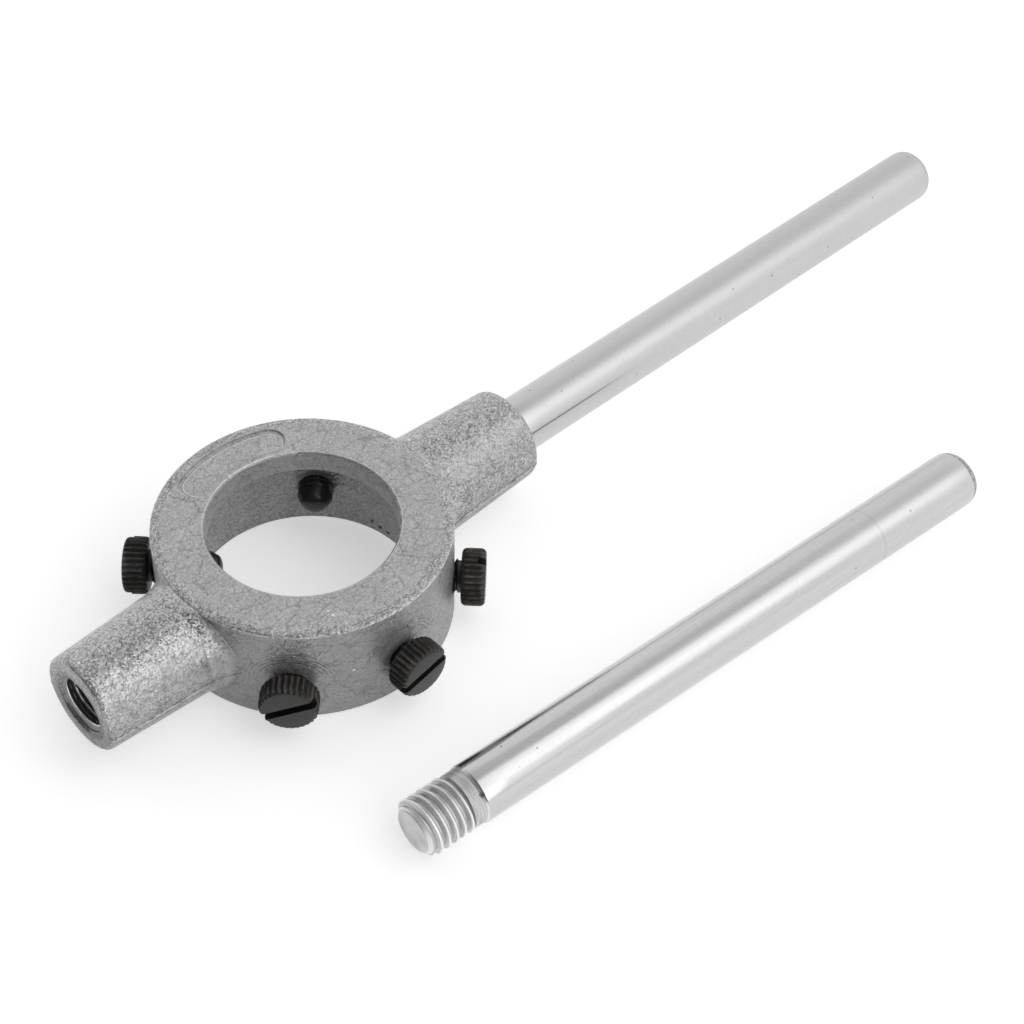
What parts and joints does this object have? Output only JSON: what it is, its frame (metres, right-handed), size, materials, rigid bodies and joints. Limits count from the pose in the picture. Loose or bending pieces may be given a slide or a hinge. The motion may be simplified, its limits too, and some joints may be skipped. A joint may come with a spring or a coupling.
{
  "type": "die stock",
  "caption": "Die stock with a ring that holds a round threading die, slotted knurled screws round it and screw-in rod handles, one of them taken off.",
  "frame": {"origin": "on the axis of the die pocket at the ring's open face, on which the stock stands", "axes": "+X along the fitted handle, +Z along the pocket's axis from its open face to the sight hole; the loose handle and the spreading screw lie on the -Y side"},
  "size_m": [0.1982, 0.0857, 0.0194],
  "materials": {
    "grey_paint": "grey hammered paint on cast metal",
    "bright_steel": "turned and polished bar",
    "black_steel": "black oxide"
  },
  "bodies": {
    "stock": {"stock_body": "grey_paint", "loose_handle": "bright_steel"},
    "handle": {"fitted_handle": "bright_steel"},
    "spreading_screw": {"spreading_screw": "black_steel"},
    "closing_screw_left": {"closing_screw_left": "black_steel"},
    "closing_screw_right": {"closing_screw_right": "black_steel"},
    "locating_screw_left": {"locating_screw_left": "black_steel"},
    "locating_screw_right": {"locating_screw_right": "black_steel"}
  },
  "joints": [
    {"name": "handle_unscrews", "type": "slide", "parent": "stock", "child": "handle", "axis": [1, 0, 0], "range_m": [0, 0.014]},
    {"name": "spreading_screw_turns", "type": "slide", "parent": "stock", "child": "spreading_screw", "axis": [0, -1, 0], "range_m": [-0.0011, 0.00605]},
    {"name": "closing_screw_left_turns", "type": "slide", "parent": "stock", "child": "closing_screw_left", "axis": [-0.7071, -0.7071, 0], "range_m": [-0.0011, 0.00605]},
    {"name": "closing_screw_right_turns", "type": "slide", "parent": "stock", "child": "closing_screw_right", "axis": [0.7071, -0.7071, 0], "range_m": [-0.0011, 0.00605]},
    {"name": "locating_screw_left_turns", "type": "slide", "parent": "stock", "child": "locating_screw_left", "axis": [-0.7071, 0.7071, 0], "range_m": [-0.0011, 0.00605]},
    {"name": "locating_screw_right_turns", "type": "slide", "parent": "stock", "child": "locating_screw_right", "axis": [0.7071, 0.7071, 0], "range_m": [-0.002, 0.00515]}
  ]
}
